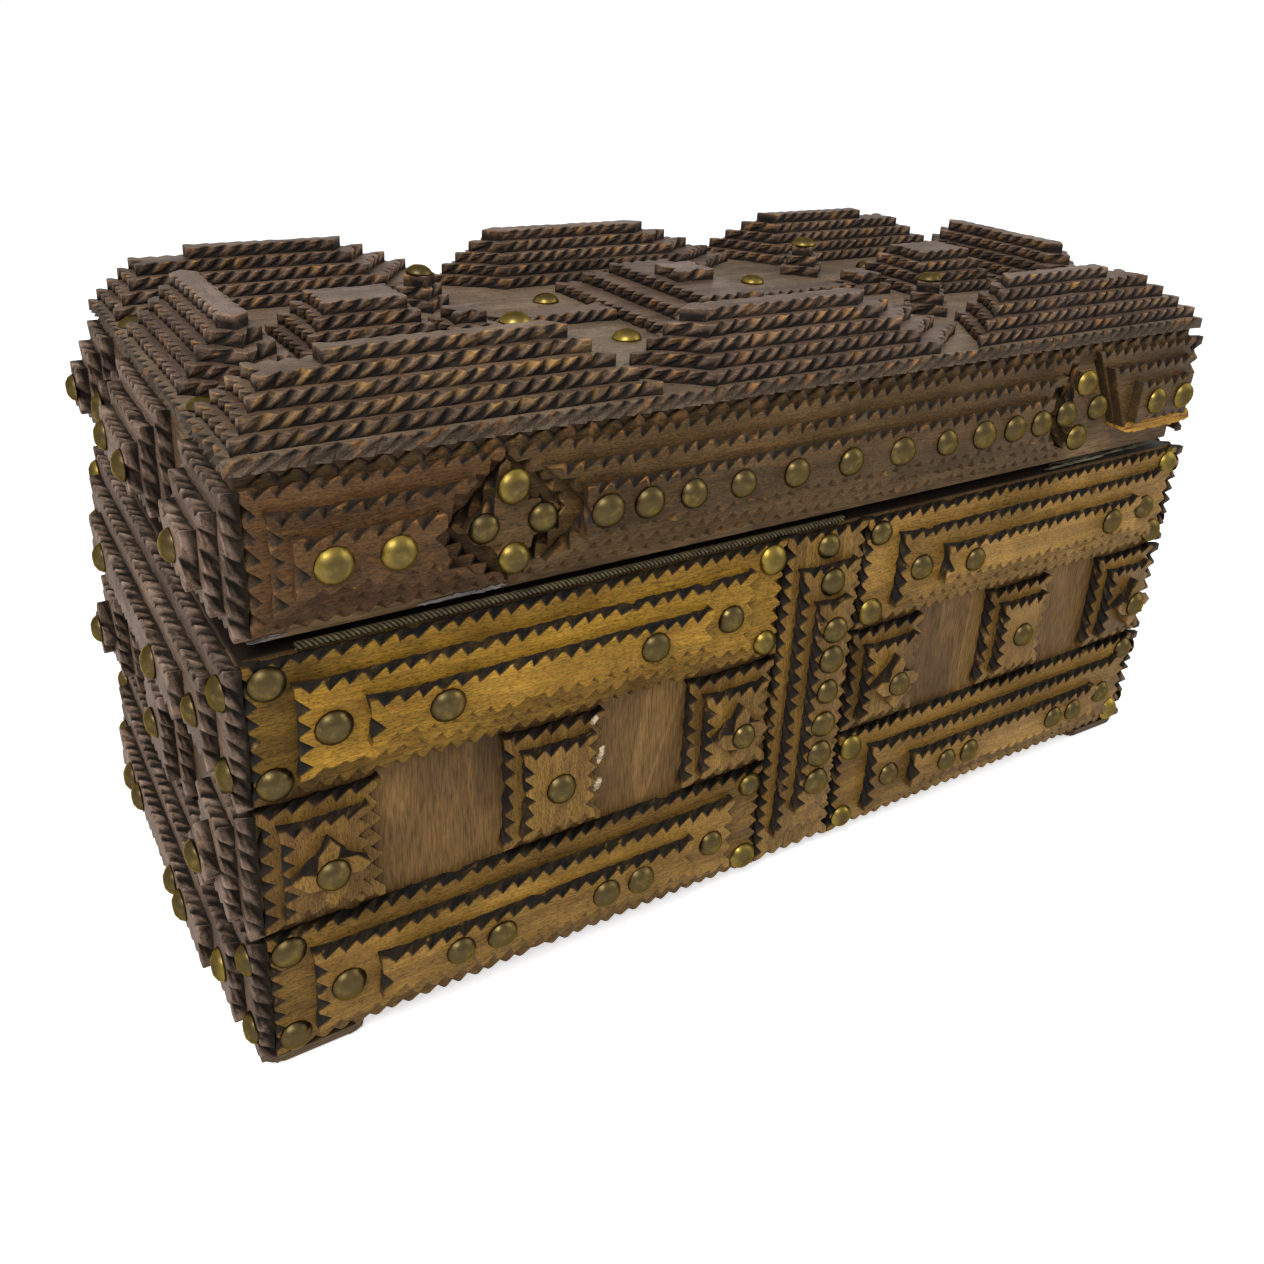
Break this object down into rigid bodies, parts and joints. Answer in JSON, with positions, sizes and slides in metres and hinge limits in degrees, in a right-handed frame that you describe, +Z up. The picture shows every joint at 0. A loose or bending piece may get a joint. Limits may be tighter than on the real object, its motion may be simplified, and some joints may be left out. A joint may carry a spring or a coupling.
{
  "type": "hinged wooden box",
  "caption": "Tramp art keepsake box: a hinged lid on a plain board carcass, dressed with stepped, notch-carved wooden layers and domed brass tacks",
  "frame": {"origin": "On the ground under the middle of the whole closed box, tack heads and hinge knuckles included.", "axes": "+X runs along the box to the right as the front is faced, +Y to the back, where the hinges are, and +Z up. The front faces -Y."},
  "size_m": [0.3434, 0.1604, 0.1733],
  "materials": {
    "board_wood": "worn varnish",
    "front_wood": "worn varnish",
    "dark_wood": "aged, darkened",
    "tack_brass": "antique",
    "hinge_steel": "dull",
    "braid": "worn"
  },
  "bodies": {
    "base": {"base_front": "board_wood", "base_back": "board_wood", "base_left": "board_wood", "base_right": "board_wood", "base_floor": "board_wood", "foot_front_left": "dark_wood", "foot_front_right": "dark_wood", "foot_back_left": "dark_wood", "foot_back_right": "dark_wood", "front_upper_left_band": "front_wood", "front_upper_right_band": "front_wood", "front_lower_left_band": "front_wood", "front_lower_right_band": "front_wood", "front_column": "front_wood", "front_blocks": "front_wood", "front_tacks": "tack_brass", "left_upper_band": "dark_wood", "left_lower_band": "dark_wood", "left_blocks": "dark_wood", "right_upper_band": "dark_wood", "right_lower_band": "dark_wood", "right_blocks": "dark_wood", "end_tacks": "tack_brass", "seam_braid": "braid", "left_hinge_base_leaf": "hinge_steel", "left_hinge_pin": "hinge_steel", "right_hinge_base_leaf": "hinge_steel", "right_hinge_pin": "hinge_steel", "base_hinge_screws": "hinge_steel"},
    "lid": {"lid_front": "board_wood", "lid_back": "board_wood", "lid_left": "board_wood", "lid_right": "board_wood", "lid_top_board": "board_wood", "lid_rim": "dark_wood", "lid_front_left_band": "dark_wood", "lid_front_middle_band": "dark_wood", "lid_front_right_band": "dark_wood", "lid_front_diamonds": "dark_wood", "lid_front_tacks": "tack_brass", "lid_left_bands": "dark_wood", "lid_right_bands": "dark_wood", "lid_end_tacks": "tack_brass", "front_left_mound": "dark_wood", "front_middle_mound": "dark_wood", "front_right_mound": "dark_wood", "back_left_mound": "dark_wood", "back_middle_mound": "dark_wood", "back_right_mound": "dark_wood", "left_end_mound": "dark_wood", "right_end_mound": "dark_wood", "left_inner_mound": "dark_wood", "right_inner_mound": "dark_wood", "lid_ridge": "dark_wood", "lid_rosettes": "dark_wood", "lid_top_tacks": "tack_brass", "left_hinge_lid_leaf": "hinge_steel", "right_hinge_lid_leaf": "hinge_steel", "lid_hinge_screws": "hinge_steel"}
  },
  "joints": [
    {"name": "lid_hinge", "type": "hinge", "parent": "base", "child": "lid", "pos_m": [0, 0.07767, 0.11325], "axis": [-1, 0, 0], "range_deg": [0, 100]}
  ]
}
